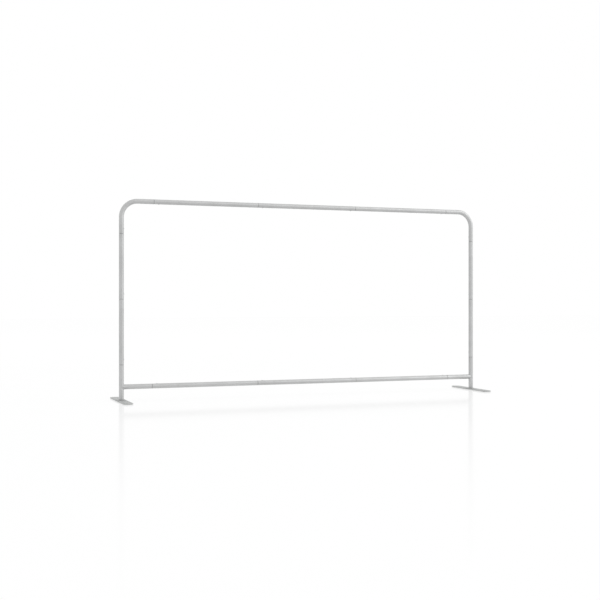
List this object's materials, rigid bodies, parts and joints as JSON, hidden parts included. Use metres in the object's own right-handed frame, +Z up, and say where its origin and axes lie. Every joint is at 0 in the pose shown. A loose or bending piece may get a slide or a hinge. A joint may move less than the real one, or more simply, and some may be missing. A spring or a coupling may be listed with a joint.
{
  "type": "display wall frame",
  "caption": "Free-standing tubular frame for a fabric display wall, with rounded top corners, snap-button tube joints and flat foot plates that turn and come off.",
  "frame": {"origin": "on the floor, under the middle of the wall", "axes": "+X along the wall to the right of a viewer in front, +Y through the wall away from that viewer, +Z up"},
  "size_m": [2.51, 0.47, 1.248],
  "materials": {
    "satin_aluminium": "satin anodised, silver grey",
    "spigot_aluminium": "dark grey anodised",
    "rivet_aluminium": "plain",
    "button_steel": "bright zinc plated",
    "spring_steel": "blued strip",
    "screw_steel": "zinc plated",
    "foot_steel": "silver-grey powder coat",
    "pad_rubber": "matt grey, non-marking"
  },
  "bodies": {
    "foot_spigots": {"left_foot_spigot": "spigot_aluminium", "left_foot_screw": "screw_steel", "right_foot_spigot": "spigot_aluminium", "right_foot_screw": "screw_steel"},
    "frame": {"top_left_corner": "satin_aluminium", "top_right_corner": "satin_aluminium", "top_rail_left": "satin_aluminium", "top_rail_middle": "satin_aluminium", "top_rail_right": "satin_aluminium", "left_upper_upright": "satin_aluminium", "left_lower_upright": "satin_aluminium", "right_upper_upright": "satin_aluminium", "right_lower_upright": "satin_aluminium", "bottom_rail_left": "satin_aluminium", "bottom_rail_middle": "satin_aluminium", "bottom_rail_right": "satin_aluminium", "left_base_tee": "satin_aluminium", "right_base_tee": "satin_aluminium", "top_rail_spigots": "spigot_aluminium", "bottom_rail_spigots": "spigot_aluminium", "left_upright_spigots": "spigot_aluminium", "right_upright_spigots": "spigot_aluminium", "spigot_rivets": "rivet_aluminium", "top_left_corner_spring": "spring_steel", "top_rail_left_spring": "spring_steel", "top_rail_right_spring": "spring_steel", "top_right_corner_spring": "spring_steel", "bottom_left_tee_spring": "spring_steel", "bottom_rail_left_spring": "spring_steel", "bottom_rail_right_spring": "spring_steel", "bottom_right_tee_spring": "spring_steel", "left_upright_low_spring": "spring_steel", "left_upright_mid_spring": "spring_steel", "left_upright_high_spring": "spring_steel", "right_upright_low_spring": "spring_steel", "right_upright_mid_spring": "spring_steel", "right_upright_high_spring": "spring_steel"},
    "top_left_corner_button": {"top_left_corner_button": "button_steel"},
    "top_rail_left_button": {"top_rail_left_button": "button_steel"},
    "top_rail_right_button": {"top_rail_right_button": "button_steel"},
    "top_right_corner_button": {"top_right_corner_button": "button_steel"},
    "bottom_left_tee_button": {"bottom_left_tee_button": "button_steel"},
    "bottom_rail_left_button": {"bottom_rail_left_button": "button_steel"},
    "bottom_rail_right_button": {"bottom_rail_right_button": "button_steel"},
    "bottom_right_tee_button": {"bottom_right_tee_button": "button_steel"},
    "left_upright_low_button": {"left_upright_low_button": "button_steel"},
    "left_upright_mid_button": {"left_upright_mid_button": "button_steel"},
    "left_upright_high_button": {"left_upright_high_button": "button_steel"},
    "right_upright_low_button": {"right_upright_low_button": "button_steel"},
    "right_upright_mid_button": {"right_upright_mid_button": "button_steel"},
    "right_upright_high_button": {"right_upright_high_button": "button_steel"},
    "left_foot": {"left_foot_plate": "foot_steel", "left_foot_pads": "pad_rubber"},
    "right_foot": {"right_foot_plate": "foot_steel", "right_foot_pads": "pad_rubber"}
  },
  "joints": [
    {"name": "top_left_corner_button_press", "type": "slide", "parent": "frame", "child": "top_left_corner_button", "axis": [0, 0, 1], "range_m": [0, 0.004], "stiffness_N_per_m": 1500, "springref_m": -0.003, "deforming": ["top_left_corner_spring"]},
    {"name": "top_rail_left_button_press", "type": "slide", "parent": "frame", "child": "top_rail_left_button", "axis": [0, 0, 1], "range_m": [0, 0.004], "stiffness_N_per_m": 1500, "springref_m": -0.003, "deforming": ["top_rail_left_spring"]},
    {"name": "top_rail_right_button_press", "type": "slide", "parent": "frame", "child": "top_rail_right_button", "axis": [0, 0, 1], "range_m": [0, 0.004], "stiffness_N_per_m": 1500, "springref_m": -0.003, "deforming": ["top_rail_right_spring"]},
    {"name": "top_right_corner_button_press", "type": "slide", "parent": "frame", "child": "top_right_corner_button", "axis": [0, 0, 1], "range_m": [0, 0.004], "stiffness_N_per_m": 1500, "springref_m": -0.003, "deforming": ["top_right_corner_spring"]},
    {"name": "bottom_left_tee_button_press", "type": "slide", "parent": "frame", "child": "bottom_left_tee_button", "axis": [0, 0, -1], "range_m": [0, 0.004], "stiffness_N_per_m": 1500, "springref_m": -0.003, "deforming": ["bottom_left_tee_spring"]},
    {"name": "bottom_rail_left_button_press", "type": "slide", "parent": "frame", "child": "bottom_rail_left_button", "axis": [0, 0, -1], "range_m": [0, 0.004], "stiffness_N_per_m": 1500, "springref_m": -0.003, "deforming": ["bottom_rail_left_spring"]},
    {"name": "bottom_rail_right_button_press", "type": "slide", "parent": "frame", "child": "bottom_rail_right_button", "axis": [0, 0, -1], "range_m": [0, 0.004], "stiffness_N_per_m": 1500, "springref_m": -0.003, "deforming": ["bottom_rail_right_spring"]},
    {"name": "bottom_right_tee_button_press", "type": "slide", "parent": "frame", "child": "bottom_right_tee_button", "axis": [0, 0, -1], "range_m": [0, 0.004], "stiffness_N_per_m": 1500, "springref_m": -0.003, "deforming": ["bottom_right_tee_spring"]},
    {"name": "left_upright_low_button_press", "type": "slide", "parent": "frame", "child": "left_upright_low_button", "axis": [-1, 0, 0], "range_m": [0, 0.004], "stiffness_N_per_m": 1500, "springref_m": -0.003, "deforming": ["left_upright_low_spring"]},
    {"name": "left_upright_mid_button_press", "type": "slide", "parent": "frame", "child": "left_upright_mid_button", "axis": [-1, 0, 0], "range_m": [0, 0.004], "stiffness_N_per_m": 1500, "springref_m": -0.003, "deforming": ["left_upright_mid_spring"]},
    {"name": "left_upright_high_button_press", "type": "slide", "parent": "frame", "child": "left_upright_high_button", "axis": [-1, 0, 0], "range_m": [0, 0.004], "stiffness_N_per_m": 1500, "springref_m": -0.003, "deforming": ["left_upright_high_spring"]},
    {"name": "right_upright_low_button_press", "type": "slide", "parent": "frame", "child": "right_upright_low_button", "axis": [1, 0, 0], "range_m": [0, 0.004], "stiffness_N_per_m": 1500, "springref_m": -0.003, "deforming": ["right_upright_low_spring"]},
    {"name": "right_upright_mid_button_press", "type": "slide", "parent": "frame", "child": "right_upright_mid_button", "axis": [1, 0, 0], "range_m": [0, 0.004], "stiffness_N_per_m": 1500, "springref_m": -0.003, "deforming": ["right_upright_mid_spring"]},
    {"name": "right_upright_high_button_press", "type": "slide", "parent": "frame", "child": "right_upright_high_button", "axis": [1, 0, 0], "range_m": [0, 0.004], "stiffness_N_per_m": 1500, "springref_m": -0.003, "deforming": ["right_upright_high_spring"]},
    {"name": "frame_lift_off", "type": "slide", "parent": "foot_spigots", "child": "frame", "axis": [0, 0, 1], "range_m": [0, 0.07]},
    {"name": "left_foot_swivel", "type": "hinge", "parent": "foot_spigots", "child": "left_foot", "pos_m": [-1.225, 0, 0], "axis": [0, 0, 1], "range_deg": [-90, 90]},
    {"name": "right_foot_swivel", "type": "hinge", "parent": "foot_spigots", "child": "right_foot", "pos_m": [1.225, 0, 0], "axis": [0, 0, 1], "range_deg": [-90, 90]}
  ]
}
